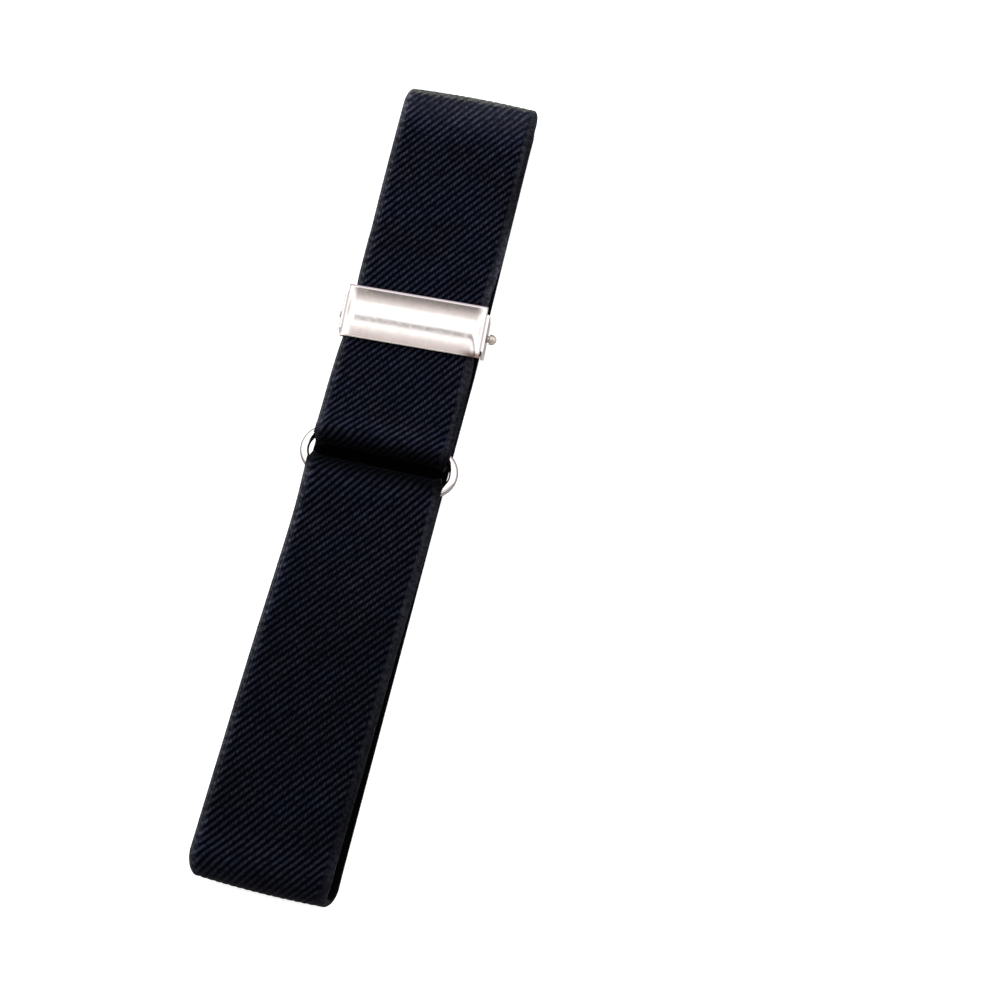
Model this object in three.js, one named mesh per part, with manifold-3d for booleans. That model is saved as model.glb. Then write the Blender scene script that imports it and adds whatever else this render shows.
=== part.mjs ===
// Sleeve garter: a loop of woven elastic with a sliding adjuster and an oval ring, lying flat.
// +X runs across the band, +Y along the loop towards the fold above the adjuster, +Z up.
// The origin lies on the surface under the middle of the loop. All sizes are in millimetres.

import * as THREE from 'three';
import { mergeVertices } from 'three/addons/utils/BufferGeometryUtils.js';
import Module from 'manifold-3d';

// Driving dimensions
const GAP = 0.3;
const BAND_WIDTH = 25;
const BAND_THICKNESS = 1.4;
const BAND_EDGE_ROUND = 0.3;
const LOOP_LENGTH = 151;
const FOLD_HEIGHT = 8.6;
const FOLD_NARROWING = 0.8;
const FOLD_BOW = 0.35;
const FOLD_BOW_REACH = 15;
const SEWN_END_LENGTH = 12.3;
const RETURN_END_LENGTH = 9.5;

const RING_CENTRE = { x: -0.3, y: 3.6, z: 4.4, turn: 1 };
const RING_LENGTH = 28.8;
const RING_HEIGHT = 9.2;
const RING_WIRE = 1.6;
const RING_SLACK = 0.5;
const RING_CORNER_NARROWING = 0.6;
const RING_CORNER_STEEPNESS = 2;
const RING_CORNER_FADE = { from: 1.5, to: 8 };

const ADJUSTER_CENTRE = { x: -0.36, y: 29.9, turn: 3.45 };
const COVER_LENGTH = 25.4;
const COVER_HEIGHT = 9.9;
const COVER_SHEET = 0.6;
const COVER_RIM_Z = 6.9;
const DOME_RISE = 1.9;
const DOME_RIM = 0.45;
const DOME_HIP = 1.7;
const EAR_WIDTH = 7;
const EAR_BOTTOM_Z = 2.3;
const EAR_OUTER_X = 13.3;

const PIN_Z = 4.2;
const PIN_SIDES = 16;
const PIN_BARREL = 1.6;
const PIN_NECK = 1.2;
const PIN_HEAD = { diameter: 1.9, length: 1.3, crown: 0.65, crownDiameter: 1.3, crownRim: 0.2 };
const PIN_TIP_CHAMFER = 0.2;
const PIN_LEFT_REACH = 13.9;
const PIN_RIGHT_REACH = 15.05;

// Sizes that follow from the driving dimensions
const HALF_BAND = BAND_THICKNESS / 2;
const FIRST_PLY_Z = HALF_BAND;
const SECOND_PLY_Z = FIRST_PLY_Z + BAND_THICKNESS + GAP;
const THIRD_PLY_Z = SECOND_PLY_Z + BAND_THICKNESS + GAP;
const FOURTH_PLY_Z = THIRD_PLY_Z + BAND_THICKNESS + GAP;
const FOLD_RADIUS = (FOLD_HEIGHT - BAND_THICKNESS) / 2;
const FOLD_Y = LOOP_LENGTH / 2 - FOLD_HEIGHT / 2;
const BAR_OFFSET = (RING_HEIGHT - RING_WIRE) / 2;
const UPPER_BAR_Y = RING_CENTRE.y + BAR_OFFSET;
const LOWER_BAR_Y = RING_CENTRE.y - BAR_OFFSET;
const HALF_BAR = (RING_LENGTH - RING_HEIGHT) / 2;
const RING_INNER_BEND = BAR_OFFSET - RING_WIRE / 2;
const RING_TURN_RADIUS = RING_WIRE / 2 + RING_SLACK + HALF_BAND;
const PIN_TURN_RADIUS = PIN_BARREL / 2 + GAP + HALF_BAND;
const OVER_PIN_Z = PIN_Z + PIN_TURN_RADIUS + BAND_THICKNESS + GAP;
const UNDER_RIM_Z = COVER_RIM_Z - GAP - HALF_BAND;
const COVER_TOP_Y = ADJUSTER_CENTRE.y + COVER_HEIGHT / 2;
const COVER_BOTTOM_Y = ADJUSTER_CENTRE.y - COVER_HEIGHT / 2;

// Middle line of the band where it lies above the first ply, and the slant of its cross lines
const FRONT_ROWS = [
  { y: -76, shift: -1.6, slant: -0.3 },
  { y: -52, shift: -1.05, slant: 0 },
  { y: -20, shift: -0.55, slant: 0.3 },
  { y: -6, shift: -0.35, slant: 1 },
  { y: 10, shift: -0.35, slant: 1 },
  { y: 19, shift: -0.36, slant: 3.45 },
  { y: 38, shift: -0.3, slant: 3.45 },
  { y: 46, shift: 0.05, slant: 3 },
  { y: 76, shift: -0.3, slant: 2.3 },
];

// Middle line of the first ply, which lies on the surface
const BACK_ROWS = [
  { y: -76, shift: -0.75 },
  { y: 0, shift: -0.45 },
  { y: 23, shift: -0.2 },
  { y: 76, shift: -0.8 },
];

// How far each side of the band is pressed in, by its distance from the adjuster's middle
const SQUEEZE_ROWS = [
  { away: 2.2, squeeze: 1.6 },
  { away: 4.2, squeeze: 0.5 },
  { away: 6.6, squeeze: 0.3 },
  { away: 14.5, squeeze: 0 },
];

// Arcs of the band's side view: centre, radius and the angles where each starts and ends
const TURNS = {
  lowerBar: { y: LOWER_BAR_Y, z: RING_CENTRE.z, radius: RING_TURN_RADIUS, from: -90, to: 90, steps: 8 },
  lowerFold: { y: -FOLD_Y, z: FOLD_HEIGHT / 2, radius: FOLD_RADIUS, from: 90, to: 270, steps: 14 },
  upperFold: { y: FOLD_Y, z: FOLD_HEIGHT / 2, radius: FOLD_RADIUS, from: -90, to: 90, steps: 14 },
  upperBar: { y: UPPER_BAR_Y, z: RING_CENTRE.z, radius: RING_TURN_RADIUS, from: 90, to: 270, steps: 8 },
  pin: { y: ADJUSTER_CENTRE.y, z: PIN_Z, radius: PIN_TURN_RADIUS, from: -90, to: 90, steps: 8 },
};

// Points that the middle of the band passes through between two turns, in the order it runs
const SEWN_END = [
  { y: LOWER_BAR_Y - SEWN_END_LENGTH, z: SECOND_PLY_Z },
  { y: LOWER_BAR_Y - 2, z: SECOND_PLY_Z },
];
const LOWER_FRONT = [
  { y: LOWER_BAR_Y - 3.2, z: 5.4 },
  { y: LOWER_BAR_Y - 7, z: THIRD_PLY_Z + 0.2 },
  { y: LOWER_BAR_Y - SEWN_END_LENGTH, z: THIRD_PLY_Z + 0.1 },
  { y: -24, z: 5.6 },
  { y: -36, z: 6.9 },
  { y: -50, z: 7.7 },
  { y: -62, z: 8 },
];
const BACK = [
  { y: 1 - FOLD_Y, z: FIRST_PLY_Z },
  { y: FOLD_Y - 1, z: FIRST_PLY_Z },
];
const UPPER_FRONT = [
  { y: 63, z: 8.1 },
  { y: 51, z: 7.6 },
  { y: 42, z: 6.6 },
  { y: COVER_TOP_Y + 1, z: UNDER_RIM_Z - 0.1 },
  { y: COVER_TOP_Y - 0.5, z: UNDER_RIM_Z + 0.05 },
  { y: ADJUSTER_CENTRE.y, z: OVER_PIN_Z },
  { y: COVER_BOTTOM_Y + 0.5, z: UNDER_RIM_Z + 0.05 },
  { y: ADJUSTER_CENTRE.y - RETURN_END_LENGTH, z: FOURTH_PLY_Z + 0.05 },
  { y: 15, z: 5.3 },
  { y: UPPER_BAR_Y + 3.2, z: 5.6 },
];
const UNDER_PLY = [{ y: 18, z: SECOND_PLY_Z }];
const RETURN_END = [
  { y: ADJUSTER_CENTRE.y - 2.4, z: 5.1 },
  { y: ADJUSTER_CENTRE.y - 5, z: THIRD_PLY_Z },
  { y: ADJUSTER_CENTRE.y - RETURN_END_LENGTH, z: THIRD_PLY_Z },
];

const wasm = await Module();
wasm.setup();

// Straight line between the rows of a table, held level beyond its ends
function readTable(rows, key, place, column) {
  if (place <= rows[0][key]) return rows[0][column];
  for (let i = 1; i < rows.length; i++) {
    if (place <= rows[i][key]) {
      const share = (place - rows[i - 1][key]) / (rows[i][key] - rows[i - 1][key]);
      return THREE.MathUtils.lerp(rows[i - 1][column], rows[i][column], share);
    }
  }
  return rows[rows.length - 1][column];
}

function turnPoints(turn) {
  const points = [];
  for (let i = 0; i <= turn.steps; i++) {
    const angle = THREE.MathUtils.degToRad(turn.from + (turn.to - turn.from) * i / turn.steps);
    const y = turn.y + turn.radius * Math.cos(angle);
    const z = turn.z + turn.radius * Math.sin(angle);
    points.push(new THREE.Vector3(0, y, z));
  }
  return points;
}

function rowPoints(rows) {
  return rows.map((row) => new THREE.Vector3(0, row.y, row.z));
}

// Side view of the band's middle: in from the sewn end, round the whole loop, out to the return end
function bandLine() {
  return new THREE.CatmullRomCurve3([
    ...rowPoints(SEWN_END), ...turnPoints(TURNS.lowerBar),
    ...rowPoints(LOWER_FRONT), ...turnPoints(TURNS.lowerFold),
    ...rowPoints(BACK), ...turnPoints(TURNS.upperFold),
    ...rowPoints(UPPER_FRONT), ...turnPoints(TURNS.upperBar),
    ...rowPoints(UNDER_PLY), ...turnPoints(TURNS.pin),
    ...rowPoints(RETURN_END),
  ], false, 'centripetal');
}

// Closed side outline of the band, half a thickness to each side of its middle line
function bandOutline() {
  const longestStep = 2.6;
  const mostParts = 8;
  const line = bandLine();
  const spans = line.points.length - 1;
  const left = [];
  const right = [];
  for (let span = 0; span < spans; span++) {
    const reach = line.points[span].distanceTo(line.points[span + 1]);
    const parts = Math.min(mostParts, Math.ceil(reach / longestStep));
    const last = span === spans - 1 ? parts : parts - 1;
    for (let part = 0; part <= last; part++) {
      const t = (span + part / parts) / spans;
      const middle = line.getPoint(t);
      const along = line.getTangent(t);
      left.push(new THREE.Vector2(middle.y - along.z * HALF_BAND, middle.z + along.y * HALF_BAND));
      right.push(new THREE.Vector2(middle.y + along.z * HALF_BAND, middle.z - along.y * HALF_BAND));
    }
  }
  return new THREE.Shape([...right, ...left.reverse()]);
}

// Share of the front layer's outline that a point takes: all above the first ply, a blend at the folds
function frontShare(y, z) {
  if (Math.abs(y) > FOLD_Y - 1) return THREE.MathUtils.smoothstep(z, 0, FOLD_HEIGHT);
  return z > BAND_THICKNESS + GAP / 2 ? 1 : 0;
}

// How much narrower each side of the band is at a place along the loop
function narrowing(y, front) {
  const pastFold = Math.max(0, Math.abs(y) - FOLD_Y) / (FOLD_HEIGHT / 2);
  const insideRing = Math.max(0, 1 - Math.abs(y - RING_CENTRE.y) / BAR_OFFSET);
  const ring = RING_CORNER_NARROWING * Math.sqrt(Math.min(1, RING_CORNER_STEEPNESS * insideRing));
  const squeeze = readTable(SQUEEZE_ROWS, 'away', Math.abs(y - ADJUSTER_CENTRE.y), 'squeeze');
  return FOLD_NARROWING * pastFold ** 2 + front * (squeeze + ring);
}

// How far the ring's bends push the band's corners in towards the ring's centre, and the side it is on
function cornerPush(x, y, front) {
  const fromCentre = y - RING_CENTRE.y;
  const pastBar = Math.abs(fromCentre) - BAR_OFFSET;
  const near = 1 - THREE.MathUtils.smoothstep(pastBar, RING_CORNER_FADE.from, RING_CORNER_FADE.to);
  const pastBend = Math.max(0, Math.abs(x) - HALF_BAR);
  const push = RING_INNER_BEND - Math.sqrt(RING_INNER_BEND ** 2 - pastBend ** 2);
  return -Math.sign(fromCentre) * front * near * push;
}

// Moves a straight band's points sideways, slants and bows its cross lines and rests it on the surface
function settle(geometry) {
  const half = BAND_WIDTH / 2;
  const bowCentre = 0.5;
  const position = geometry.attributes.position;
  for (let i = 0; i < position.count; i++) {
    const x = position.getX(i);
    const y = position.getY(i);
    const z = position.getZ(i);
    const front = frontShare(y, z);
    const backShift = readTable(BACK_ROWS, 'y', y, 'shift');
    const frontShift = readTable(FRONT_ROWS, 'y', y, 'shift');
    const shift = THREE.MathUtils.lerp(backShift, frontShift, front);
    const narrowed = x * (half - narrowing(y, front)) / half;
    const slant = Math.tan(THREE.MathUtils.degToRad(readTable(FRONT_ROWS, 'y', y, 'slant')));
    const nearFold = THREE.MathUtils.smoothstep(Math.abs(y), FOLD_Y - FOLD_BOW_REACH, LOOP_LENGTH / 2);
    const bow = FOLD_BOW * nearFold * (bowCentre - (x / half) ** 2) * Math.sign(y);
    const push = cornerPush(narrowed, y, front);
    position.setXYZ(i, narrowed + shift, y + narrowed * slant + bow + push, Math.max(z, 0));
  }
  return geometry;
}

// Turns an extrusion so that its outline lies in the YZ plane and its depth runs along X
function acrossBand(geometry) {
  return geometry.applyMatrix4(new THREE.Matrix4().set(0, 0, 1, 0, 1, 0, 0, 0, 0, 1, 0, 0, 0, 0, 0, 1));
}

// Spreads an even extrusion's columns, so that the inner ones lie where the ring starts to bend the band
function spreadColumns(geometry, columnAt) {
  const flat = BAND_WIDTH / 2 - BAND_EDGE_ROUND;
  const spread = HALF_BAR / columnAt;
  const position = geometry.attributes.position;
  for (let i = 0; i < position.count; i++) {
    const x = position.getX(i);
    if (Math.abs(x) < flat) position.setX(i, THREE.MathUtils.clamp(x * spread, -flat, flat));
  }
  return geometry;
}

function bandGeometry() {
  const steps = 4;
  const depth = BAND_WIDTH - 2 * BAND_EDGE_ROUND;
  const straight = new THREE.ExtrudeGeometry(bandOutline(), {
    depth,
    steps,
    bevelEnabled: true,
    bevelThickness: BAND_EDGE_ROUND,
    bevelSize: BAND_EDGE_ROUND,
    bevelOffset: -BAND_EDGE_ROUND,
    bevelSegments: 1,
  });
  straight.translate(0, 0, BAND_EDGE_ROUND - BAND_WIDTH / 2);
  return settle(spreadColumns(acrossBand(straight), depth / steps));
}

// Oval ring: a torus with its two halves drawn apart, which leaves two straight bars between them
function ringGeometry() {
  const sides = 12;
  const steps = 32;
  const ring = new THREE.TorusGeometry(BAR_OFFSET, RING_WIRE / 2, sides, steps);
  ring.rotateZ(Math.PI / steps);
  const position = ring.attributes.position;
  for (let i = 0; i < position.count; i++) {
    const x = position.getX(i);
    position.setX(i, x + Math.sign(x) * HALF_BAR);
  }
  return ring;
}

// Height of the cover's pressed dome above its rim: a rounded roof with hipped ends
function domeHeight(x, y) {
  const fromSide = (COVER_HEIGHT / 2 - DOME_RIM - Math.abs(y)) / (COVER_HEIGHT / 2 - DOME_RIM);
  const fromEnd = (COVER_LENGTH / 2 - DOME_RIM - Math.abs(x)) / DOME_HIP;
  const side = THREE.MathUtils.clamp(fromSide, 0, 1);
  const end = THREE.MathUtils.clamp(fromEnd, 0, 1);
  return DOME_RISE * Math.sin(side * Math.PI / 2) * Math.sin(end * Math.PI / 2);
}

function coverPlateGeometry() {
  const lengthSteps = 28;
  const heightSteps = 14;
  const plate = new THREE.BoxGeometry(COVER_LENGTH, COVER_HEIGHT, COVER_SHEET, lengthSteps, heightSteps, 1);
  plate.translate(0, 0, COVER_RIM_Z + COVER_SHEET / 2);
  const position = plate.attributes.position;
  for (let i = 0; i < position.count; i++) {
    position.setZ(i, position.getZ(i) + domeHeight(position.getX(i), position.getY(i)));
  }
  return plate;
}

// Ear: a strip that leaves the plate level, bends down and ends below the pin
function earGeometry() {
  const top = COVER_RIM_Z + COVER_SHEET;
  const inner = EAR_OUTER_X - COVER_SHEET;
  const root = COVER_LENGTH / 2 - DOME_RIM;
  const bend = EAR_OUTER_X - COVER_LENGTH / 2;
  const side = new THREE.Shape();
  side.moveTo(root, COVER_RIM_Z);
  side.lineTo(inner, COVER_RIM_Z);
  side.lineTo(inner, EAR_BOTTOM_Z);
  side.lineTo(EAR_OUTER_X, EAR_BOTTOM_Z);
  side.lineTo(EAR_OUTER_X, top - bend);
  side.absarc(EAR_OUTER_X - bend, top - bend, bend, 0, Math.PI / 2);
  side.lineTo(root, top);
  side.closePath();
  const ear = new THREE.ExtrudeGeometry(side, { depth: EAR_WIDTH, bevelEnabled: false, curveSegments: 4 });
  ear.rotateX(Math.PI / 2);
  ear.translate(0, EAR_WIDTH / 2, 0);
  return ear;
}

function toSolid(geometry) {
  const weldDistance = 1e-4;
  const bare = geometry.clone();
  bare.deleteAttribute('normal');
  bare.deleteAttribute('uv');
  const merged = mergeVertices(bare, weldDistance);
  return new wasm.Manifold(new wasm.Mesh({
    numProp: 3,
    vertProperties: Float32Array.from(merged.attributes.position.array),
    triVerts: Uint32Array.from(merged.index.array),
  }));
}

function toGeometry(solid) {
  const mesh = solid.getMesh();
  const geometry = new THREE.BufferGeometry();
  geometry.setAttribute('position', new THREE.BufferAttribute(mesh.vertProperties, 3));
  geometry.setIndex(new THREE.BufferAttribute(mesh.triVerts, 1));
  geometry.computeVertexNormals();
  return geometry;
}

// Round rod along X at the pin's height
function rodGeometry(diameter, fromX, toX) {
  const rod = new THREE.CylinderGeometry(diameter / 2, diameter / 2, toX - fromX, PIN_SIDES);
  rod.rotateZ(Math.PI / 2);
  rod.translate((fromX + toX) / 2, 0, PIN_Z);
  return rod;
}

// Cover: one pressed sheet with a domed plate and an ear at each end, drilled for the pin
function coverGeometry() {
  const ear = earGeometry();
  const otherEar = ear.clone().rotateZ(Math.PI);
  const drill = rodGeometry(PIN_NECK + 2 * GAP, -COVER_LENGTH, COVER_LENGTH);
  const sheet = toSolid(coverPlateGeometry()).add(toSolid(ear)).add(toSolid(otherEar));
  return toGeometry(sheet.subtract(toSolid(drill)));
}

// Pin: a barrel between the ears, thin necks through them and a round head at the right end
function pinGeometry() {
  const barrelEnd = EAR_OUTER_X - COVER_SHEET - GAP;
  const neck = PIN_NECK / 2;
  const head = PIN_HEAD.diameter / 2;
  const headStart = PIN_RIGHT_REACH - PIN_HEAD.length;
  const profile = [
    [0, -PIN_LEFT_REACH],
    [neck - PIN_TIP_CHAMFER, -PIN_LEFT_REACH],
    [neck, PIN_TIP_CHAMFER - PIN_LEFT_REACH],
    [neck, -barrelEnd],
    [PIN_BARREL / 2, -barrelEnd],
    [PIN_BARREL / 2, barrelEnd],
    [neck, barrelEnd],
    [neck, headStart],
    [head, headStart],
    [head, PIN_RIGHT_REACH - PIN_HEAD.crown],
    [PIN_HEAD.crownDiameter / 2, PIN_RIGHT_REACH - PIN_HEAD.crownRim],
    [0, PIN_RIGHT_REACH],
  ].map(([radius, height]) => new THREE.Vector2(radius, height));
  const pin = new THREE.LatheGeometry(profile, PIN_SIDES);
  pin.rotateZ(-Math.PI / 2);
  pin.translate(0, 0, PIN_Z);
  return pin;
}

function piece(name, geometry, color, roughness, metalness) {
  const mesh = new THREE.Mesh(geometry, new THREE.MeshStandardMaterial({ color, roughness, metalness }));
  mesh.name = name;
  return mesh;
}

const band = piece('elastic_band', bandGeometry(), 0x14161c, 0.9, 0);

const ring = piece('oval_ring', ringGeometry(), 0xcfc9c2, 0.2, 1);
ring.position.set(RING_CENTRE.x, RING_CENTRE.y, RING_CENTRE.z);
ring.rotation.z = THREE.MathUtils.degToRad(RING_CENTRE.turn);

const adjuster = new THREE.Group();
adjuster.position.set(ADJUSTER_CENTRE.x, ADJUSTER_CENTRE.y, 0);
adjuster.rotation.z = THREE.MathUtils.degToRad(ADJUSTER_CENTRE.turn);
adjuster.add(piece('slider_cover', coverGeometry(), 0xd6d0ca, 0.18, 1));
adjuster.add(piece('slider_pin', pinGeometry(), 0xc4beb8, 0.25, 1));

const garter = new THREE.Group();
garter.add(band, ring, adjuster);

export default garter;
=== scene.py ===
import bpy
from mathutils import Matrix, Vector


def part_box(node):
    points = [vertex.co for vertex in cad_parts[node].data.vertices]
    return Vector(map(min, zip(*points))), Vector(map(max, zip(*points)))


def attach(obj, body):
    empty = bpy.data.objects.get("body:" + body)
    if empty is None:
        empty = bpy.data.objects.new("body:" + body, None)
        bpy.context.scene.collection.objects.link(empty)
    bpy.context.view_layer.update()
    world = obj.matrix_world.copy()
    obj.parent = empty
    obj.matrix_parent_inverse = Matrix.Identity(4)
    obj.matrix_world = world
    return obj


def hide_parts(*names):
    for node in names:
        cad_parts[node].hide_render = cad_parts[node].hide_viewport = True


bl_info = {
    "name": "Sleeve Garter",
    "version": (1, 0, 0),
    "blender": (4, 5, 0),
    "location": "View3D > Sidebar > Garter",
    "description": "Builds the elastic, ring and adjuster of a sleeve garter that lies flat, with its stage",
    "category": "Add Mesh",
}

import math

import bmesh
import bpy
import numpy as np
from bpy.props import FloatProperty, FloatVectorProperty, IntProperty, PointerProperty
from mathutils import Matrix, Vector

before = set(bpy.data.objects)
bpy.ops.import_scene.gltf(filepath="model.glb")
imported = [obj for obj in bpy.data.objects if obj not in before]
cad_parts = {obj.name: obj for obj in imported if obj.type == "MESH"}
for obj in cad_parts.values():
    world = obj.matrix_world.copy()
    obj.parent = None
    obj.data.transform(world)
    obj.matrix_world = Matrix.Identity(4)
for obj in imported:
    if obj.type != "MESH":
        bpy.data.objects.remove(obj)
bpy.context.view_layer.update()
BODY = "root"
MM = 0.001


def middle(node):
    low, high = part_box(node)
    return (low + high) / 2


def table(names, *rows):
    """Columns by name; the first one holds the places that the others are read at."""
    return dict(zip(names.split(), zip(*rows)))


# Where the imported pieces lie
RING_CENTRE = middle("oval_ring")
ADJUSTER_CENTRE = middle("slider_cover")
PIN_Z = middle("slider_pin").z
RING_TURN = math.radians(1)
ADJUSTER_TURN = math.radians(3.45)

# The band's plies, turns and folds
GAP = 0.3 * MM
BAND_THICKNESS = 1.4 * MM
HALF_BAND = BAND_THICKNESS / 2
LOOP_LENGTH = 151 * MM
HALF_LOOP = LOOP_LENGTH / 2
FOLD_HEIGHT = 8.6 * MM
FOLD_NARROWING = 0.8 * MM
FOLD_BOW = 0.35 * MM
FOLD_BOW_REACH = 15 * MM
BOW_CENTRE = 0.5
FOLD_RADIUS = (FOLD_HEIGHT - BAND_THICKNESS) / 2
FOLD_Y = HALF_LOOP - FOLD_HEIGHT / 2
SEWN_END_LENGTH = 12.3 * MM
RETURN_END_LENGTH = 9.5 * MM
PLY_STEP = BAND_THICKNESS + GAP
FIRST_PLY_Z = HALF_BAND
SECOND_PLY_Z = FIRST_PLY_Z + PLY_STEP
THIRD_PLY_Z = SECOND_PLY_Z + PLY_STEP
FOURTH_PLY_Z = THIRD_PLY_Z + PLY_STEP

# The ring's wire and the band's turns round it
RING_WIRE = 1.6 * MM
RING_LENGTH = 28.8 * MM
RING_HEIGHT = 9.2 * MM
BAR_OFFSET = (RING_HEIGHT - RING_WIRE) / 2
UPPER_BAR_Y = RING_CENTRE.y + BAR_OFFSET
LOWER_BAR_Y = RING_CENTRE.y - BAR_OFFSET
RING_TURN_RADIUS = RING_WIRE / 2 + 0.5 * MM + HALF_BAND
HALF_BAR = (RING_LENGTH - RING_HEIGHT) / 2
RING_INNER_BEND = BAR_OFFSET - RING_WIRE / 2
RING_CORNER_NARROWING = 0.6 * MM
RING_CORNER_STEEPNESS = 2
RING_CORNER_FADE = (1.5 * MM, 8 * MM)

# The adjuster
COVER_LENGTH = 25.4 * MM
COVER_HEIGHT = 9.9 * MM
COVER_RIM_Z = 6.9 * MM
COVER_SHEET = 0.6 * MM
COVER_BEVEL = 0.09 * MM
COVER_TOP_Y = ADJUSTER_CENTRE.y + COVER_HEIGHT / 2
COVER_BOTTOM_Y = ADJUSTER_CENTRE.y - COVER_HEIGHT / 2
EAR_WIDTH = 7 * MM
EAR_BOTTOM_Z = 2.3 * MM
EAR_OUTER_X = 13.3 * MM
PIN_BARREL = 1.6 * MM
PIN_NECK = 1.2 * MM
PIN_HOLE = 1.8 * MM
PIN_HEAD = 1.9 * MM
PIN_HEAD_LENGTH = 1.3 * MM
PIN_CHAMFER = 0.2 * MM
PIN_LEFT_REACH = 13.9 * MM
PIN_RIGHT_REACH = 15.05 * MM
PIN_TURN_RADIUS = PIN_BARREL / 2 + GAP + HALF_BAND
OVER_PIN_Z = PIN_Z + PIN_TURN_RADIUS + PLY_STEP
UNDER_RIM_Z = COVER_RIM_Z - GAP - HALF_BAND

# Middle of the painted dark reflection on the cover, from the adjuster's middle, and one over its reach each
# way
CORNER_REFLECTION_PLACE = Vector((12.3, -4.9, 0)) * MM
CORNER_REFLECTION_SCALE = Vector((1 / 4, 1 / 1.3, 0)) / MM

# Middle line of the band where it lies above the first ply, and the slant of its cross lines in degrees
FRONT_ROWS = table(
    "y shift slant",
    (-0.076, -0.0016, -0.3),
    (-0.052, -0.00105, 0),
    (-0.02, -0.00055, 0.3),
    (-0.006, -0.00035, 1),
    (0.01, -0.00035, 1),
    (0.019, -0.00036, 3.45),
    (0.038, -0.0003, 3.45),
    (0.046, 0.00005, 3),
    (0.076, -0.0003, 2.3),
)

# Middle line of the first ply, which lies on the floor
BACK_ROWS = table("y shift", (-0.076, -0.00075), (0, -0.00045), (0.023, -0.0002), (0.076, -0.0008))

# How far each side of the band is pressed in, by its distance from the adjuster's middle
SQUEEZE_ROWS = table("away squeeze", (0.0022, 0.0016), (0.0042, 0.0005), (0.0066, 0.0003), (0.0145, 0))

# Heights of the smooth selvedge and of the hooked edge's grooves, as shares of a rib's, and the ribs' fade
SELVEDGE_LEVEL = 0.66
HOOK_FILL = 0.8
SELVEDGE_FADE = 0.3 * MM

# Share of the ribs' depth that is left at a fold, and how far the upper fold's fluff stands out
FOLD_RIB_SHARE = 0.3
FLUFF = 0.28 * MM
FLUFF_REACH = 4 * MM

# Painted sheen and shade on the band's edges: brightness of the left edge, the selvedge and the selvedge's
# rim along the band, as shares of the face's
PAINTED_EDGE_LIGHT_ROWS = table(
    "y left selvedge rim",
    (-0.076, 1.6, 0.76, 1.5),
    (-0.061, 1.8, 0.5, 0.4),
    (-0.022, 2.1, 0.95, 0.8),
    (0.016, 1.5, 0.72, 0.3),
    (0.043, 1.45, 0.86, 1.7),
    (0.054, 1.5, 0.5, 0.45),
    (0.059, 1.4, 0.6, 0.28),
    (0.066, 1.35, 0.75, 0.28),
    (0.071, 1.25, 0.87, 0.85),
)

# How far the middle of the elastic is stretched along the front, which widens the pitch of its ribs
STRETCH_ROWS = table(
    "y stretch",
    (-0.076, 0.9),
    (-0.0705, 0.96),
    (-0.0675, 1.12),
    (-0.05, 1.06),
    (RING_CENTRE.y - 5 * MM, 1.06),
    (RING_CENTRE.y - 3.6 * MM, 0.85),
    (RING_CENTRE.y + 3.6 * MM, 0.85),
    (RING_CENTRE.y + 5 * MM, 1),
    (0.076, 1.02),
)

# Fades along the loop, as (from y, to y, share before, share past)
# Painted shade: the front darker towards its lower end and at the lower fold
LOWER_SHADE = (-35 * MM, 15 * MM, 0.58, 1.0)
FOLD_SHADE = (-HALF_LOOP, 6 * MM - HALF_LOOP, 0.45, 1.0)
LOWER_PLAIN = (-70 * MM, -40 * MM, 0.0, 0.32)
# Painted light on the face near the upper fold
UPPER_PAINTED_LIGHT = (HALF_LOOP - 12 * MM, HALF_LOOP - 3 * MM, 0.0, 0.8)
UPPER_FLATNESS = (HALF_LOOP - 11 * MM, HALF_LOOP - 2.5 * MM, 0.0, 0.25)
UPPER_WARMTH = (HALF_LOOP - 10 * MM, HALF_LOOP - 4 * MM)
# Painted sheen along the upper fold's crest
UPPER_SHEEN = (HALF_LOOP - 2.2 * MM, HALF_LOOP - 0.9 * MM, 0.0, 0.8)

# Fades by the distance from the loop's middle, and from the ring's
FOLD_DEPTH = (HALF_LOOP - 8 * MM, HALF_LOOP - 2 * MM, 1.0, FOLD_RIB_SHARE)
FOLD_BEADS = (HALF_LOOP - 11 * MM, HALF_LOOP - 4 * MM, 1.0, 0.3)
RING_BEADS = (4 * MM, 9 * MM, 0.35, 1.0)
# Painted shade round the ring, where the band turns into the groove between its bars
RING_SHADE = (1.7 * MM, 5.6 * MM, 0.12, 1.0)
RING_SHADE_SHIFT = 0.45 * MM

# Fades by height, and by how far a face looks up
# Painted shade on the plies below the open face
PLY_SHADE = (2.2 * MM, 4.6 * MM, 0.9, 0.0)
# Heights where the painted sheen on the upper fold shows
SHEEN_HEIGHT = (3.6 * MM, 5.4 * MM)
SHADED_FACES = (-0.1, 0.3)
UPRIGHT_FACES = (0.15, 0.3)

# Each plating's range of roughness and the painted shade on its sides: that shade's share on upright faces,
# and the others' fade
PLATINGS = {
    "nickel_wire": {"roughness": (0.1, 0.2), "upright": 1.0, "sides": (0.66, 0.92, 1.0, 0.0)},
    "nickel_sheet": {"roughness": (0.18, 0.28), "upright": 0.0, "sides": (0.35, 0.65, 0.8, 0.0)},
    "nickel_pin": {"roughness": (0.28, 0.4), "upright": 0.7, "sides": (0.35, 0.7, 0.7, 0.0)},
}

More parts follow.
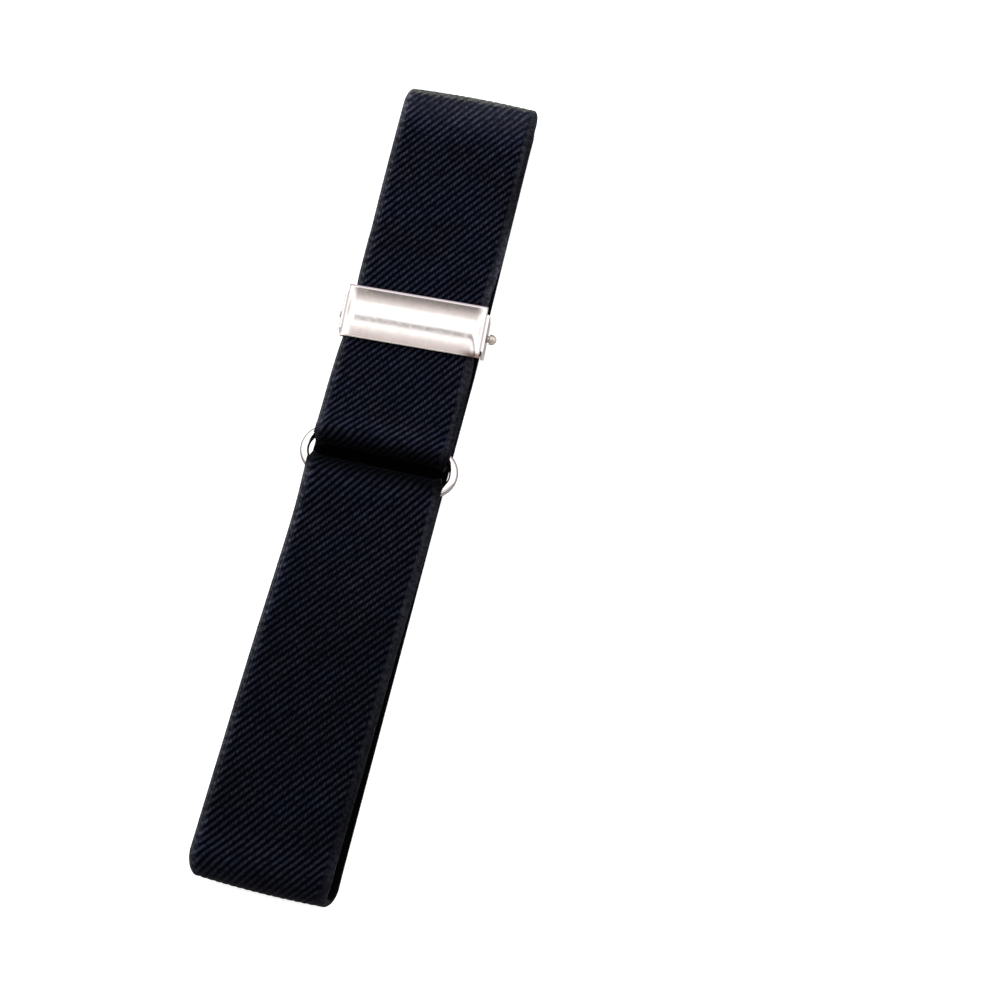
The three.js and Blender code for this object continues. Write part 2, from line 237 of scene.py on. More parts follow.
# Brightness of the studio by angle from overhead, in degrees, positive towards the upper fold
STUDIO_ROWS = table(
    "angle colour",
    (-90, (0.3, 0.26, 0.25)),
    (-50, (0.32, 0.27, 0.26)),
    (-44, (0.4, 0.35, 0.35)),
    (-38, (0.6, 0.56, 0.57)),
    (-34, (1, 1, 1)),
    (-28, (1, 1, 1)),
    (-22, (0.15, 0.13, 0.15)),
    (-10, (0.15, 0.13, 0.15)),
    (-4, (1, 1, 1)),
    (44, (1, 1, 1)),
    (56, (0.58, 0.55, 0.56)),
    (72, (0.44, 0.39, 0.39)),
    (84, (0.13, 0.125, 0.12)),
)

# The photograph's viewpoint, found from the band's edges
CAMERA_PLACE = Vector((52.654, -122.104, 448.8)) * MM
CAMERA_TARGET = Vector((22.197, 2.932, 0)) * MM

# Points (y, z) that the middle of the band passes through between two turns, in the order it runs
SEWN_END = [(LOWER_BAR_Y - SEWN_END_LENGTH, SECOND_PLY_Z), (LOWER_BAR_Y - 0.002, SECOND_PLY_Z)]
LOWER_FRONT = [
    (LOWER_BAR_Y - 0.0032, 0.0054),
    (LOWER_BAR_Y - 0.007, THIRD_PLY_Z + 0.0002),
    (LOWER_BAR_Y - SEWN_END_LENGTH, THIRD_PLY_Z + 0.0001),
    (-0.024, 0.0056),
    (-0.036, 0.0069),
    (-0.05, 0.0077),
    (-0.062, 0.008),
]
BACK = [(0.001 - FOLD_Y, FIRST_PLY_Z), (FOLD_Y - 0.001, FIRST_PLY_Z)]
UPPER_FRONT = [
    (0.063, 0.0081),
    (0.051, 0.0076),
    (0.042, 0.0066),
    (COVER_TOP_Y + 0.001, UNDER_RIM_Z - 0.0001),
    (COVER_TOP_Y - 0.0005, UNDER_RIM_Z + 0.00005),
    (ADJUSTER_CENTRE.y, OVER_PIN_Z),
    (COVER_BOTTOM_Y + 0.0005, UNDER_RIM_Z + 0.00005),
    (ADJUSTER_CENTRE.y - RETURN_END_LENGTH, FOURTH_PLY_Z + 0.00005),
    (0.015, 0.0053),
    (UPPER_BAR_Y + 0.0032, 0.0056),
]
UNDER_PLY = [(0.018, SECOND_PLY_Z)]
RETURN_END = [
    (ADJUSTER_CENTRE.y - 0.0024, 0.0051),
    (ADJUSTER_CENTRE.y - 0.005, THIRD_PLY_Z),
    (ADJUSTER_CENTRE.y - RETURN_END_LENGTH, THIRD_PLY_Z),
]


def length(name, description, default):
    return FloatProperty(name=name, description=description, default=default, unit="LENGTH", precision=5)


def share(name, description, default):
    return FloatProperty(name=name, description=description, default=default, min=0, max=1, subtype="FACTOR")


def colour(name, description, default):
    return FloatVectorProperty(
        name=name, description=description, default=default, min=0, max=1, subtype="COLOR"
    )


class GarterBandSettings(bpy.types.PropertyGroup):
    """Sizes and colours of the elastic band"""

    width: length("Width", "Width of the webbing", 25 * MM)
    rib_pitch: length("Rib Pitch", "Distance along the band from one twill rib to the next", 1.65 * MM)
    rib_depth: length("Rib Depth", "Depth of the grooves between the ribs", 0.3 * MM)
    rib_slope: FloatProperty(
        name="Rib Slope", description="Angle of the ribs to the cross line", subtype="ANGLE",
        default=math.radians(50.5),
    )
    yarn_width: length("Yarn Width", "Width of one lengthwise yarn, which gives a rib its beads", 0.55 * MM)
    # Painted shade in the waists between a rib's beads
    bead_shade_share: share("Bead Depth", "How much darker the waists between the beads of a rib are", 0.6)
    plain_edge: length("Plain Edge", "Width of the smooth selvedge on the right", 1.7 * MM)
    hooked_edge: length("Hooked Edge", "Width of the left edge, where the ribs hook back", 0.75 * MM)
    unevenness: share("Unevenness", "How much one rib differs from the next", 0.16)
    seed: IntProperty(name="Seed", description="Seed of the uneven ribs", default=7)
    rib_colour: colour("Rib Colour", "Colour of the ribs", (0.0183, 0.0232, 0.0415))
    # Painted sheen on the ribs along the upper fold
    fold_sheen_colour: colour("Worn Colour", "Colour of the worn ribs along the upper fold", (0.08, 0.083, 0.074))
    # Lighter colour of the two edges, partly their own and partly painted sheen
    edge_colour_and_sheen: colour("Edge Colour", "Colour of the webbing's two edges", (0.042, 0.045, 0.053))
    # Painted shade: near-black colour in the grooves between the ribs
    groove_shade_colour: colour("Groove Colour", "Colour between the ribs", (0.0001, 0.0003, 0.0042))


class GarterMetalSettings(bpy.types.PropertyGroup):
    """Sizes and colours of the ring, the cover and the pin"""

    dome_rise: length("Dome Rise", "Height of the cover's dome above its rim", 1.9 * MM)
    dome_rim: length("Dome Rim", "Width of the rolled rim above the dome and at its ends", 0.32 * MM)
    lower_rim: length("Lower Rim", "Width of the rim below the dome", 0.12 * MM)
    dome_hip: length("Dome Hip", "Length of the sloping ends of the dome", 1.7 * MM)
    bead_height: length("Rim Bead", "Height of the rolled rim", 0.06 * MM)
    colour: colour("Nickel", "Colour of the plating", (0.8, 0.765, 0.735))
    tarnish: colour("Tarnish", "Colour where the plating is dull", (0.58, 0.53, 0.49))
    # Darker colour on the cover's upper rim and at its ends
    rim_colour: colour("Rim Colour", "Colour of the cover's dull rim", (0.36, 0.31, 0.335))
    # Painted dark reflection in the cover's corner
    stain_colour: colour("Stain Colour", "Colour of the stain in the cover's corner", (0.14, 0.09, 0.08))
    pin_colour: colour("Pin Colour", "Colour of the pin", (0.46, 0.41, 0.36))
    # Painted shade on the metal's sides
    side_colour: colour("Side Colour", "Colour of the dull plating on the metal's sides", (0.22, 0.2, 0.2))


class GarterStageSettings(bpy.types.PropertyGroup):
    """The floor, lights and camera"""

    floor_colour: colour("Floor", "Colour of the floor", (0.9, 0.9, 0.9))
    floor_glow: share("Floor Glow", "Light that the floor gives off, as a light table does", 0.5)
    light: FloatProperty(name="Light", description="Brightness of the studio's white walls", default=1.9)
    backdrop: share("Backdrop", "Brightness of the studio behind the floor", 0.9)
    lens: FloatProperty(name="Lens", description="Focal length", default=93.5, subtype="DISTANCE_CAMERA")


def smooth(value, low, high):
    place = np.clip((value - low) / (high - low), 0, 1)
    return place * place * (3 - 2 * place)


def read_table(columns, name, place):
    return np.interp(place, next(iter(columns.values())), columns[name])


def turn(y, z, radius, first, last, steps):
    angles = np.radians(np.linspace(first, last, steps + 1))
    return [(y + radius * math.cos(angle), z + radius * math.sin(angle)) for angle in angles]


def centripetal_line(points, parts):
    """Points on a centripetal Catmull-Rom line through the given ones."""
    points = np.array(points)
    ends = np.array([2 * points[0] - points[1], *points, 2 * points[-1] - points[-2]])
    t = np.linspace(0, 1, parts, endpoint=False)[:, None]
    found = []
    for before, start, end, after in zip(ends, ends[1:], ends[2:], ends[3:]):
        pairs = (before, start), (start, end), (end, after)
        gap_in, gap, gap_out = (np.linalg.norm(b - a) ** 0.5 for a, b in pairs)
        leaving = (start - before) / gap_in - (end - before) / (gap_in + gap) + (end - start) / gap
        arriving = (end - start) / gap - (after - start) / (gap + gap_out) + (after - end) / gap_out
        found.append(
            (2 * t**3 - 3 * t**2 + 1) * start
            + (t**3 - 2 * t**2 + t) * leaving * gap
            + (3 * t**2 - 2 * t**3) * end
            + (t**3 - t**2) * arriving * gap
        )
    found.append(points[-1:])
    return np.concatenate(found)


class BandLine:
    """Side view of the band's middle, read by the unstretched distance along it."""

    def __init__(self):
        stretches = {
            "sewn_end": SEWN_END,
            "lower_bar": turn(LOWER_BAR_Y, RING_CENTRE.z, RING_TURN_RADIUS, -90, 90, 8),
            "lower_front": LOWER_FRONT,
            "lower_fold": turn(-FOLD_Y, FOLD_HEIGHT / 2, FOLD_RADIUS, 90, 270, 14),
            "back": BACK,
            "upper_fold": turn(FOLD_Y, FOLD_HEIGHT / 2, FOLD_RADIUS, -90, 90, 14),
            "upper_front": UPPER_FRONT,
            "upper_bar": turn(UPPER_BAR_Y, RING_CENTRE.z, RING_TURN_RADIUS, 90, 270, 8),
            "under_ply": UNDER_PLY,
            "pin": turn(ADJUSTER_CENTRE.y, PIN_Z, PIN_TURN_RADIUS, -90, 90, 8),
            "return_end": RETURN_END,
        }
        parts = 40
        line = centripetal_line([point for points in stretches.values() for point in points], parts)
        steps = np.linalg.norm(np.diff(line, axis=0), axis=1)
        middles = (line[1:] + line[:-1]) / 2
        above = middles[:, 1] > BAND_THICKNESS + GAP / 2
        stretch = np.where(above, read_table(STRETCH_ROWS, "stretch", middles[:, 0]), 1)
        self.along = np.concatenate([[0], np.cumsum(steps / stretch)])
        tangent = np.gradient(line, self.along, axis=0)
        tangent /= np.linalg.norm(tangent, axis=1)[:, None]
        self.paths = *line.T, tangent[:, 1], -tangent[:, 0]
        self.length = self.along[-1]
        starts = np.cumsum([0] + [len(points) * parts for points in stretches.values()])
        self.start = {name: self.along[at] for name, at in zip(stretches, starts)}

    def place(self, along, outward):
        """The y and z of points at those distances along the line and outward from it."""
        y, z, out_y, out_z = (np.interp(along, self.along, path) for path in self.paths)
        return y + outward * out_y, z + outward * out_z

    def front_share(self, along):
        """1 where the band lies above the first ply, 0 on it, and a blend round the folds."""
        y, z = self.place(along, 0)
        at_fold = np.abs(y) > FOLD_Y - 0.001
        above = z > BAND_THICKNESS + GAP / 2
        return np.where(at_fold, smooth(z, FIRST_PLY_Z, FOLD_HEIGHT - HALF_BAND), above)


def narrowing(y, front):
    past_fold = np.maximum(0, np.abs(y) - FOLD_Y) / (FOLD_HEIGHT / 2)
    inside_ring = np.maximum(0, 1 - np.abs(y - RING_CENTRE.y) / BAR_OFFSET)
    ring = RING_CORNER_NARROWING * np.sqrt(np.minimum(1, RING_CORNER_STEEPNESS * inside_ring))
    squeeze = read_table(SQUEEZE_ROWS, "squeeze", np.abs(y - ADJUSTER_CENTRE.y))
    return FOLD_NARROWING * past_fold**2 + front * (squeeze + ring)


def corner_push(x, y, front):
    """How far along Y the ring's bends push the band's corners in towards the ring's centre."""
    from_centre = y - RING_CENTRE.y
    near = 1 - smooth(np.abs(from_centre) - BAR_OFFSET, *RING_CORNER_FADE)
    past_bend = np.clip(np.abs(x) - HALF_BAR, 0, RING_INNER_BEND)
    push = RING_INNER_BEND - np.sqrt(RING_INNER_BEND**2 - past_bend**2)
    return -np.sign(from_centre) * front * near * push


def settle(x, y, z, front, half_width):
    """Moves a straight band's points sideways, slants and bows its cross lines and rests it on the floor."""
    shift = (1 - front) * read_table(BACK_ROWS, "shift", y) + front * read_table(FRONT_ROWS, "shift", y)
    narrowed = x * (half_width - narrowing(y, front)) / half_width
    slant = np.tan(np.radians(read_table(FRONT_ROWS, "slant", y)))
    near_fold = smooth(np.abs(y), FOLD_Y - FOLD_BOW_REACH, HALF_LOOP)
    bow = FOLD_BOW * near_fold * (BOW_CENTRE - (x / half_width) ** 2) * np.sign(y)
    push = corner_push(narrowed, y, front) + FLUFF * smooth(y, HALF_LOOP - FLUFF_REACH, HALF_LOOP)
    return narrowed + shift, y + narrowed * slant + bow + push, np.maximum(z, 0)


def painted_edge_light(across, y, half):
    """Painted sheen and shade on the band's two edges: how bright they are, 1 on the face between them."""
    is_left = 1 - smooth(across, 1.2 * MM - half, 2.4 * MM - half)
    is_selvedge = smooth(across, half - 2.1 * MM, half - 1.7 * MM)
    is_rim = smooth(across, half - 1.1 * MM, half - 0.5 * MM)
    left, selvedge, rim = (read_table(PAINTED_EDGE_LIGHT_ROWS, name, y) for name in ("left", "selvedge", "rim"))
    right = selvedge + is_rim * (rim - selvedge)
    return 1 + is_left * (left - 1) + is_selvedge * (right - 1)


def feed(tree, socket, value):
    if isinstance(value, bpy.types.NodeSocket):
        tree.links.new(value, socket)
    elif socket.type == "RGBA":
        socket.default_value = (*value, 1.0)
    else:
        socket.default_value = value


def feed_all(tree, node, inputs):
    """Feeds a node's inputs by name or number."""
    for name, value in dict(inputs).items():
        feed(tree, node.inputs[name], value)
    return node


def place_node(tree, kind, inputs=(), **settings):
    node = tree.nodes.new(kind)
    for name, value in settings.items():
        setattr(node, name, value)
    return feed_all(tree, node, inputs)


def sums(tree, operation, *values):
    return place_node(tree, "ShaderNodeMath", enumerate(values), operation=operation).outputs[0]


def times(tree, first, *others):
    for value in others:
        first = sums(tree, "MULTIPLY", first, value)
    return first


def most(tree, first, *others):
    for value in others:
        first = sums(tree, "MAXIMUM", first, value)
    return first


def rest(tree, value):
    return sums(tree, "SUBTRACT", 1.0, value)


def apart(tree, value, place):
    return sums(tree, "ABSOLUTE", sums(tree, "SUBTRACT", value, place))


def ramp(tree, value, low, high, out_low=0.0, out_high=1.0, curve="SMOOTHSTEP"):
    inputs = {"Value": value, "From Min": low, "From Max": high, "To Min": out_low, "To Max": out_high}
    return place_node(tree, "ShaderNodeMapRange", inputs, interpolation_type=curve).outputs["Result"]


def vectors(tree, operation, *values, output=0):
    return place_node(tree, "ShaderNodeVectorMath", enumerate(values), operation=operation).outputs[output]


def scaled(tree, vector, scale):
    inputs = {0: vector, "Scale": scale}
    return place_node(tree, "ShaderNodeVectorMath", inputs, operation="SCALE").outputs[0]


def split(tree, vector):
    return place_node(tree, "ShaderNodeSeparateXYZ", {"Vector": vector}).outputs


def new_tree(name, kind, inputs, output):
    """A node group with the given (socket type, name, default) inputs and (socket type, name) output."""
    tree = bpy.data.node_groups.new(name, kind)
    for in_out, sockets in (("INPUT", inputs), ("OUTPUT", [output])):
        for socket_type, label, *default in sockets:
            socket = tree.interface.new_socket(label, in_out=in_out, socket_type="NodeSocket" + socket_type)
            if default:
                socket.default_value = default[0]
    return tree, tree.nodes.new("NodeGroupInput").outputs, tree.nodes.new("NodeGroupOutput").inputs


def named(tree, name):
    return place_node(tree, "GeometryNodeInputNamedAttribute", {"Name": name}, data_type="FLOAT").outputs[0]


def twill_tree():
    """Geometry nodes that press the grooves of a twill into a band whose rows follow the ribs."""
    tree, given, out = new_tree("Twill Ribs", "GeometryNodeTree", [
        ("Geometry", "Geometry"),
        ("Float", "Pitch", 1.65 * MM),
        ("Float", "Depth", 0.3 * MM),
        ("Float", "Left Limit", -11.7 * MM),
        ("Float", "Right Limit", 10.8 * MM),
        ("Float", "Unevenness", 0.15),
        ("Float", "Lump Size", 1.4 * MM),
        ("Int", "Seed", 7),
        ("Material", "Material"),
    ], ("Geometry", "Geometry"))
    across = named(tree, "across")
    turns = sums(tree, "DIVIDE", named(tree, "rib_line"), given["Pitch"])
    swing = sums(tree, "MULTIPLY_ADD", sums(tree, "FRACT", turns), 2.0, -1.0)
    crest = ramp(tree, rest(tree, sums(tree, "ABSOLUTE", swing)), 0.0, 0.95)
    chance = place_node(tree, "FunctionNodeRandomValue", {
        "ID": sums(tree, "FLOOR", turns), "Seed": given["Seed"],
    }, data_type="FLOAT")
    lowest = rest(tree, given["Unevenness"])
    level = ramp(tree, chance.outputs[1], 0.0, 1.0, lowest, 1.0, "LINEAR")
    position = place_node(tree, "GeometryNodeInputPosition").outputs[0]
    lumps = place_node(tree, "ShaderNodeTexNoise", {
        "Vector": position, "Scale": sums(tree, "DIVIDE", 1.0, given["Lump Size"]), "Detail": 1.0,
    })
    lump = ramp(tree, lumps.outputs[0], 0.35, 0.65, lowest, 1.0, "LINEAR")
    rib = times(tree, crest, times(tree, level, lump))
    left_end = sums(tree, "SUBTRACT", given["Left Limit"], SELVEDGE_FADE)
    left = ramp(tree, across, left_end, given["Left Limit"])
    right_end = sums(tree, "ADD", given["Right Limit"], SELVEDGE_FADE)
    right = ramp(tree, across, given["Right Limit"], right_end, 1.0, 0.0)
    left_floor = sums(tree, "MULTIPLY_ADD", left, -HOOK_FILL, HOOK_FILL)
    plain = times(tree, rest(tree, right), SELVEDGE_LEVEL)
    height = sums(tree, "ADD", most(tree, times(tree, rib, right), left_floor), plain)
    flat = ramp(tree, sums(tree, "ABSOLUTE", split(tree, position)["Y"]), *FOLD_DEPTH)
    lift = times(tree, sums(tree, "SUBTRACT", height, 1.0), times(tree, given["Depth"], flat))
    push = scaled(tree, place_node(tree, "GeometryNodeInputNormal").outputs[0], lift)
    shape = given["Geometry"]
    for kind, inputs in (
        ("GeometryNodeStoreNamedAttribute", {"Name": "rib", "Value": height}),
        ("GeometryNodeSetPosition", {"Offset": push}),
        ("GeometryNodeRealizeInstances", {}),
        ("GeometryNodeSetMaterial", {"Material": given["Material"]}),
    ):
        shape = place_node(tree, kind, {"Geometry": shape, **inputs}).outputs[0]
    feed(tree, out["Geometry"], shape)
    return tree


def bake_modifiers(piece):
    """Turns the evaluated piece into a plain mesh and takes its modifiers off."""
    bpy.context.view_layer.update()
    graph = bpy.context.evaluated_depsgraph_get()
    plain = bpy.data.meshes.new_from_object(
        piece.evaluated_get(graph), preserve_all_data_layers=True, depsgraph=graph
    )
    plain.name = piece.name
    piece.modifiers.clear()
    piece.data = plain


def grow(piece, tree, values):
    """Runs a geometry node tree on a piece and keeps the result as its mesh."""
    modifier = piece.modifiers.new(tree.name, "NODES")
    modifier.node_group = tree
    for item in tree.interface.items_tree:
        if item.in_out == "INPUT" and item.name in values:
            modifier[item.identifier] = values[item.name]
    bake_modifiers(piece)


def new_piece(name, vertices, faces):
    mesh = bpy.data.meshes.new(name)
    mesh.from_pydata(vertices, [], faces)
    piece = bpy.data.objects.new(name, mesh)
    bpy.context.scene.collection.objects.link(piece)
    return piece


def check_closed(piece):
    """Stops the script if the piece's mesh is open or inside out."""
    shape = bmesh.new()
    shape.from_mesh(piece.data)
    open_edges = sum(not edge.is_manifold for edge in shape.edges)
    volume = shape.calc_volume(signed=True)
    shape.free()
    if open_edges or volume <= 0:
        raise RuntimeError(f"{piece.name} has {open_edges} open edges and a volume of {volume}")


def finish_piece(piece, node, smooth_angle=None):
    """Checks and shades a piece, rides it on the body and lets it stand for its node."""
    check_closed(piece)
    piece.data.shade_smooth()
    if smooth_angle is not None:
        piece.data.set_sharp_from_angle(angle=smooth_angle)
    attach(piece, BODY)
    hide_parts(node)


def band_section(half_width):
    """The cross section's columns, round from the outer face: across, outward, both in metres."""
    edge = 0.5 * MM
    inset = half_width - edge
    outer = np.linspace(-inset, inset, 47)
    inner = np.linspace(inset, -inset, 9)
    rim = np.radians([60, 30, 0, -30, -60])
    across = np.concatenate([outer, inset + edge * np.cos(rim), inner, -inset - edge * np.cos(rim[::-1])])
    outward = np.concatenate([
        np.full(len(outer), HALF_BAND), HALF_BAND * np.sin(rim),
        np.full(len(inner), -HALF_BAND), HALF_BAND * np.sin(rim[::-1]),
    ])
    return across, outward


def rib_reach(across, left, right):
    """How far across the band a rib has run: it hooks back at the left edge and ends at the right one."""
    hooked = np.where(across < left, 2 * left - across, across)
    return np.minimum(hooked, right)


def rib_rows(line, pitch, first, last, margin):
    """Places of the mesh rows, with more to each rib where the band shows from above."""
    start = line.start
    bounds = [start["lower_bar"] - margin, start["back"] + margin]
    bounds += [start["upper_fold"] - margin, start["under_ply"]]
    rows = []
    for number in range(math.floor(first / pitch), math.ceil(last / pitch) + 1):
        steps = (2, 8, 4, 8, 2)[np.searchsorted(bounds, number * pitch, side="right")]
        rows += [number * pitch + pitch * step / steps for step in range(steps)]
    return np.array(rows)


def band_mesh(settings):
    """The band as a closed mesh whose rows follow the ribs, with its weave places and its edges' painted
    sheen and shade kept as attributes.
    """
    half = settings.width / 2
    slope = math.tan(settings.rib_slope)
    line = BandLine()
    across, outward = band_section(half)
    reach = rib_reach(across, settings.hooked_edge - half, half - settings.plain_edge) * slope
    rows = rib_rows(line, settings.rib_pitch, reach.min(), line.length + reach.max(), half * slope)
    along = np.clip(rows[:, None] - reach[None, :], 0, line.length)
    rib_line = along + reach[None, :]
    wide_across = np.broadcast_to(across, along.shape)
    y, z = line.place(along, np.broadcast_to(outward, along.shape))
    x, y, z = settle(wide_across, y, z, line.front_share(along), half)

    index = np.arange(along.size).reshape(along.shape)
    after = np.roll(index, -1, axis=1)
    faces = np.stack([index[:-1], after[:-1], after[1:], index[1:]], axis=-1).reshape(-1, 4)
    wide = np.ptp(along.ravel()[faces], axis=1) > 0
    piece = new_piece("elastic", np.stack([x, y, z], -1).reshape(-1, 3).tolist(), faces[wide].tolist())
    mesh = piece.data
    edges = painted_edge_light(wide_across, y, half)
    for name, values in (("across", wide_across), ("rib_line", rib_line), ("edge_sheen_shade", edges)):
        column = mesh.attributes.new(name, "FLOAT", "POINT").data
        column.foreach_set("value", values.astype(np.float32).ravel())
    close_band(mesh)
    return piece


def close_band(mesh):
    """Merges the rows that were cut off at the two ends and caps them."""
    shape = bmesh.new()
    shape.from_mesh(mesh)
    bmesh.ops.remove_doubles(shape, verts=shape.verts, dist=0.002 * MM)
    bmesh.ops.dissolve_degenerate(shape, edges=shape.edges, dist=0.001 * MM)
    loose = [vertex for vertex in shape.verts if not vertex.link_faces]
    bmesh.ops.delete(shape, geom=loose, context="VERTS")
    open_edges = [edge for edge in shape.edges if edge.is_boundary]
    bmesh.ops.holes_fill(shape, edges=open_edges)
    shape.to_mesh(mesh)
    shape.free()
    turn_outward(mesh)


def attribute(tree, name):
    node = place_node(tree, "ShaderNodeAttribute", attribute_type="GEOMETRY", attribute_name=name)
    return node.outputs["Fac"]


def new_material(name):
    material = bpy.data.materials.new(name)
    material.use_nodes = True
    return material, material.node_tree, material.node_tree.nodes["Principled BSDF"]


def speckle_group():
    """A soft random value that varies over a surface, from Object coordinates."""
    tree, given, out = new_tree("Speckle", "ShaderNodeTree", [
        ("Vector", "Vector"), ("Float", "Size", 1 * MM), ("Float", "Low", 0.0), ("Float", "High", 1.0),
    ], ("Float", "Value"))
    noise = place_node(tree, "ShaderNodeTexNoise", {
        "Vector": given["Vector"], "Scale": sums(tree, "DIVIDE", 1.0, given["Size"]),
        "Detail": 3.0, "Roughness": 0.55,
    })
    feed(tree, out["Value"], ramp(tree, noise.outputs[0], 0.3, 0.7, given["Low"], given["High"], "LINEAR"))
    return tree


def speckle(tree, vector, size, low, high):
    group = bpy.data.node_groups.get("Speckle") or speckle_group()
    inputs = {"Vector": vector, "Size": size, "Low": low, "High": high}
    return place_node(tree, "ShaderNodeGroup", inputs, node_tree=group).outputs["Value"]


def blend_colours(tree, share_of_second, first, second):
    node = place_node(tree, "ShaderNodeMix", data_type="RGBA")
    feed(tree, node.inputs["Factor"], share_of_second)
    ends = [socket for socket in node.inputs if socket.type == "RGBA"]
    for socket, value in zip(ends, (first, second)):
        feed(tree, socket, value)
    return [socket for socket in node.outputs if socket.type == "RGBA"][0]


def bump(tree, height, distance, **normal):
    return place_node(tree, "ShaderNodeBump", {
        "Height": height, "Distance": distance, "Strength": 1.0, **normal,
    }).outputs["Normal"]


def surface(tree):
    """A point's place, the same split into x, y and z, and how far the face looks up there."""
    place = place_node(tree, "ShaderNodeTexCoord").outputs["Object"]
    normal = place_node(tree, "ShaderNodeNewGeometry").outputs["Normal"]
    return place, split(tree, place), split(tree, normal)["Z"]


def webbing_painted_light(tree, where, facing, on_face):
    """1 on the open face of the elastic, darker by painted shade towards the lower fold, round the ring and
    on the plies below, and lighter by painted light near the upper fold.
    """
    y = where["Y"]
    upper_painted_light = sums(tree, "MULTIPLY_ADD", ramp(tree, y, *UPPER_PAINTED_LIGHT), on_face, 1.0)
    ring = ramp(tree, apart(tree, y, RING_CENTRE.y - RING_SHADE_SHIFT), *RING_SHADE)
    lower_ply_shade = times(tree, ramp(tree, where["Z"], *PLY_SHADE), ramp(tree, facing, *SHADED_FACES))
    along = times(tree, ramp(tree, y, *LOWER_SHADE), ramp(tree, y, *FOLD_SHADE))
    return times(tree, along, times(tree, upper_painted_light, ring), rest(tree, lower_ply_shade))


def webbing_material(settings):
    """Black twill: beaded grey-blue rib crowns over grooves painted near-black with shade, painted shade and
    light along the loop, and a lighter painted sheen along the upper fold.
    """
    material, tree, shader = new_material("webbing")
    place, where, facing = surface(tree)
    y = where["Y"]
    names = "rib", "across", "rib_line", "edge_sheen_shade"
    rib, across, rib_line, edge_sheen_shade = (attribute(tree, name) for name in names)
    half = settings.width / 2
    selvedge = half - settings.plain_edge, half - settings.plain_edge + SELVEDGE_FADE
    off_face = ramp(tree, across, *selvedge)
    on_face = rest(tree, off_face)

    wobble = speckle(tree, place, 1.1 * MM, -0.25, 0.25)
    yarn = sums(tree, "ADD", sums(tree, "DIVIDE", across, settings.yarn_width), wobble)
    swell = sums(tree, "MULTIPLY_ADD", sums(tree, "COSINE", times(tree, yarn, math.tau)), 0.5, 0.5)
    at_fold = ramp(tree, sums(tree, "ABSOLUTE", y), *FOLD_BEADS)
    even = times(tree, at_fold, ramp(tree, apart(tree, y, RING_CENTRE.y), *RING_BEADS))
    # Painted shade in the waists between the beads, weaker on the selvedge, at the fold and round the ring
    bead_shade_share = ramp(tree, across, *selvedge, settings.bead_shade_share, settings.bead_shade_share / 4)
    bead_waist_shade = rest(tree, times(tree, rest(tree, swell), times(tree, bead_shade_share, even)))
    cloud = speckle(tree, place, 6 * MM, 0.85, 1.12)
    fleck = speckle(tree, place, 0.65 * MM, 0.3, 1.7)
    # Brightness of the base colour: random clouds and flecks, painted shade in the bead waists, painted
    # shade and light along the loop, and painted sheen and shade at the edges
    light = times(tree, cloud, fleck, bead_waist_shade, webbing_painted_light(tree, where, facing, on_face), edge_sheen_shade)

    tint = most(tree, speckle(tree, place, 7 * MM, 0.0, 1.0), ramp(tree, y, *UPPER_WARMTH), off_face)
    warm = tuple(value * scale for value, scale in zip(settings.rib_colour, (1.17, 0.99, 0.77)))
    # Painted sheen along the upper fold: lighter ribs and partly filled grooves where the fold turns away
    up_fold = sums(tree, "MULTIPLY_ADD", where["X"], -0.06, y)
    sheened = times(tree, ramp(tree, up_fold, *UPPER_SHEEN), ramp(tree, where["Z"], *SHEEN_HEIGHT))
    # Left edge: lighter colour and partly filled grooves, partly its own and partly painted sheen; the
    # selvedge takes the edge colour towards the lower end
    hooked = ramp(tree, across, 0.6 * MM - half, 1.8 * MM - half, 0.9, 0.0)
    edge = most(tree, hooked, times(tree, ramp(tree, y, *LOWER_PLAIN), off_face))
    tone = settings.rib_colour
    for part, colour_there in ((tint, warm), (edge, settings.edge_colour_and_sheen), (sheened, settings.fold_sheen_colour)):
        tone = blend_colours(tree, part, tone, colour_there)
    flattened = ramp(tree, y, *UPPER_FLATNESS)
    crown = most(tree, ramp(tree, rib, 0.15, 0.95), flattened, times(tree, sheened, 0.7))
    crown = most(tree, crown, times(tree, hooked, 0.5))
    # Painted shade: the grooves between the rib crowns are near-black
    tone = blend_colours(tree, crown, settings.groove_shade_colour, tone)

    strands = sums(tree, "SINE", times(tree, across, math.tau / (0.18 * MM)))
    twist = sums(tree, "SINE", times(tree, rib_line, math.tau / (0.27 * MM)))
    fibre = speckle(tree, place, 0.09 * MM, 0.0, 1.0)
    fine = sums(tree, "ADD", times(tree, strands, twist), times(tree, fibre, 1.5))
    feed_all(tree, shader, {
        "Base Color": scaled(tree, tone, light),
        "Roughness": speckle(tree, place, 0.6 * MM, 0.65, 0.9),
        "Specular IOR Level": 0.015,
        "Sheen Weight": 0.006,
        "Sheen Roughness": 0.5,
        "Sheen Tint": (0.8, 0.85, 1.0),
        "Normal": bump(tree, times(tree, swell, even), 0.07 * MM, Normal=bump(tree, fine, 0.012 * MM)),
    })
    return material


